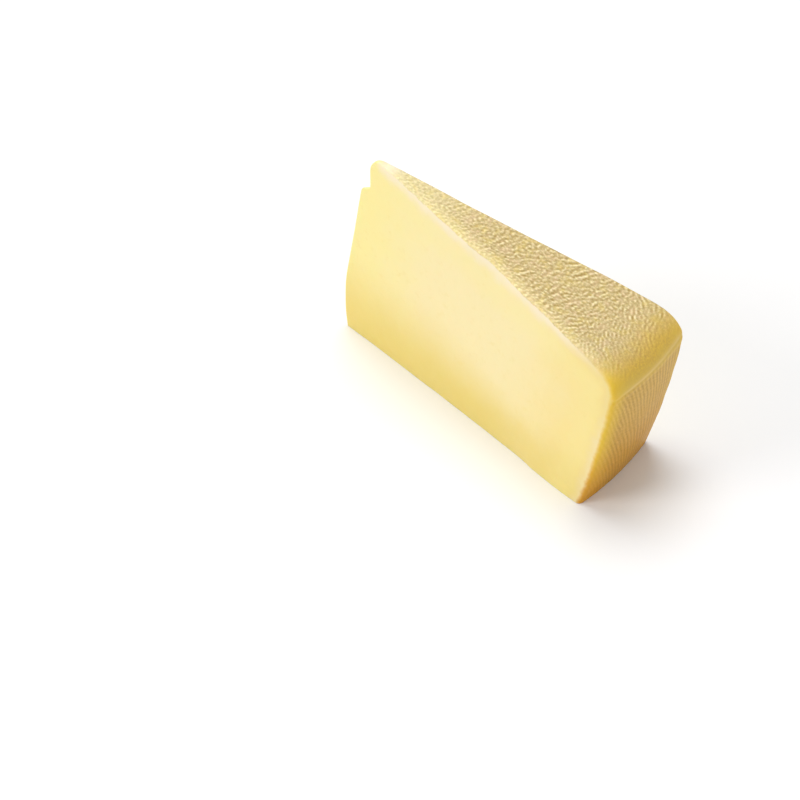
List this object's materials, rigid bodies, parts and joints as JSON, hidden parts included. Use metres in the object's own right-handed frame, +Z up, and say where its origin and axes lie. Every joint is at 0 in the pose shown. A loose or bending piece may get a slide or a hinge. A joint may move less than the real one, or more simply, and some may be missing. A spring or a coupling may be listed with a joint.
{
  "type": "parmesan chunk",
  "caption": "Standing chunk of parmesan, a narrow sector of a wheel with cloth-marked flat rind, rounded shoulder, lined rim and smooth cut sides.",
  "frame": {"origin": "middle of the chunk's box, on the surface that it stands on", "axes": "+Z up, +X from the narrow nose to the rim at the wide end, +Y across the sector"},
  "size_m": [0.2002, 0.0606, 0.1273],
  "materials": {
    "parmesan": "smooth, waxy pale yellow cut cheese, with a dry golden rind"
  },
  "bodies": {
    "root": {"parmesan_chunk": "parmesan"}
  },
  "joints": []
}
